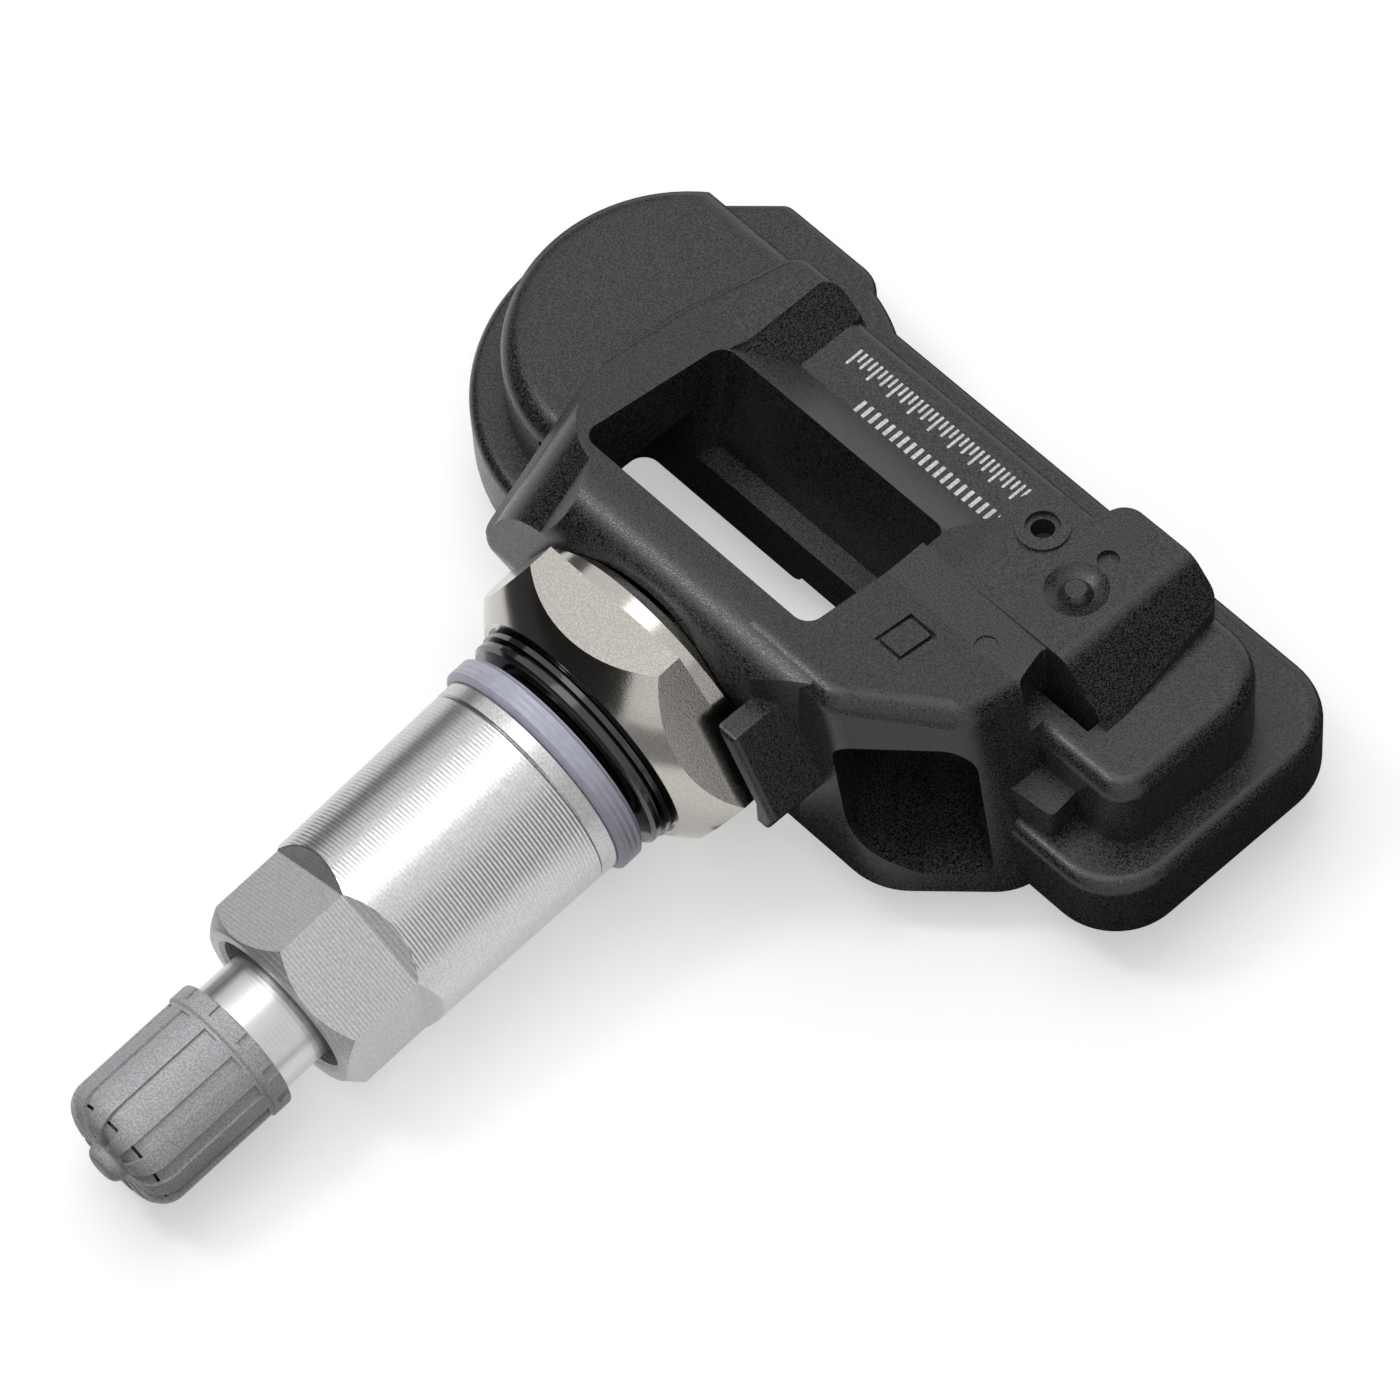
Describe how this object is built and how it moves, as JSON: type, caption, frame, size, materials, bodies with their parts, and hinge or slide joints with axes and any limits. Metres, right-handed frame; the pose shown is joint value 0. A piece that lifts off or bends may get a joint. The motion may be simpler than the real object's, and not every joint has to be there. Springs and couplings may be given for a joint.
{
  "type": "tyre pressure sensor",
  "caption": "Clamp-in tyre pressure sensor: metal valve with collar nut, rubber grommet and cap on a swivelling moulded housing with cell, board and pressure port.",
  "frame": {"origin": "on the valve's axis, in the plane of the grommet's flange that seats on the inner face of the wheel rim", "axes": "+Y along the valve towards the housing, in the housing's level plane, +X along the housing towards its square end, +Z out of the housing's base plate; the valve's axis leans 7 degrees from Y, cap end low"},
  "size_m": [0.0593, 0.0753, 0.0198],
  "materials": {
    "housing": "sand-blasted black, glass-filled nylon",
    "potting": "smooth black casting resin",
    "cell": "nickel-plated can",
    "tabs": "nickel strip",
    "board": "green solder resist",
    "chip": "moulded chip body",
    "silicone": "grey silicone",
    "membrane": "white membrane",
    "ferrite": "sintered ferrite",
    "copper_wire": "enamelled copper wire",
    "crystal_can": "plated can",
    "stem_metal": "turned, satin",
    "nickel_plate": "bright nickel plate",
    "grommet_rubber": "glossy black rubber",
    "ring_plastic": "pale grey moulded plastic",
    "washer_metal": "satin",
    "nut_metal": "anodised, finely turned",
    "cap_plastic": "mid-grey moulded plastic",
    "black_rubber": "matt black",
    "core_brass": "turned brass",
    "core_seal_plastic": "red sealing ring",
    "spring_steel": "bright spring wire",
    "screw_steel": "stainless steel"
  },
  "bodies": {
    "valve": {"valve_stem": "stem_metal", "hex_collar": "nickel_plate", "grommet": "grommet_rubber", "core_body": "core_brass", "core_barrel_seal": "core_seal_plastic", "core_spring": "spring_steel", "screw_washer": "screw_steel", "valve_screw": "screw_steel"},
    "housing": {"housing": "housing", "potting": "potting", "battery": "cell", "battery_tab_top": "tabs", "battery_tab_under": "tabs", "circuit_board": "board", "sensor_chip": "chip", "port_seal": "silicone", "port_filter": "membrane", "antenna_core": "ferrite", "antenna_winding": "copper_wire", "crystal": "crystal_can"},
    "nut_rings": {"seat_ring": "ring_plastic", "nut_washer": "washer_metal"},
    "nut": {"collar_nut": "nut_metal"},
    "cap_disc": {"cap_seal": "black_rubber"},
    "cap": {"valve_cap": "cap_plastic"},
    "core_plunger": {"core_pin": "core_brass", "core_plunger_seal": "black_rubber"}
  },
  "joints": [
    {"name": "housing_swivel", "type": "hinge", "parent": "valve", "child": "housing", "pos_m": [0, -0.00397, -0.00049], "axis": [1, 0, 0], "range_deg": [-5, 7]},
    {"name": "nut_travel", "type": "slide", "parent": "valve", "child": "nut_rings", "axis": [0, -0.9925, -0.1219], "range_m": [0, 0.006]},
    {"name": "nut_turn", "type": "hinge", "parent": "nut_rings", "child": "nut", "pos_m": [0, 0, 0], "axis": [0, -0.9925, -0.1219], "range_deg": [0, 2880.5]},
    {"name": "cap_travel", "type": "slide", "parent": "valve", "child": "cap_disc", "axis": [0, -0.9925, -0.1219], "range_m": [0, 0.00793]},
    {"name": "cap_turn", "type": "hinge", "parent": "cap_disc", "child": "cap", "pos_m": [0, 0, 0], "axis": [0, -0.9925, -0.1219], "range_deg": [0, 3600]},
    {"name": "core_press", "type": "slide", "parent": "valve", "child": "core_plunger", "axis": [0, 0.9925, 0.1219], "range_m": [0, 0.0015], "stiffness_N_per_m": 600, "springref_m": -0.003, "deforming": ["core_spring"]}
  ],
  "couplings": [
    {"joint": "nut_turn", "follows": "nut_travel", "rad_per_m": 8377.6},
    {"joint": "cap_turn", "follows": "cap_travel", "rad_per_m": 7915.8}
  ]
}
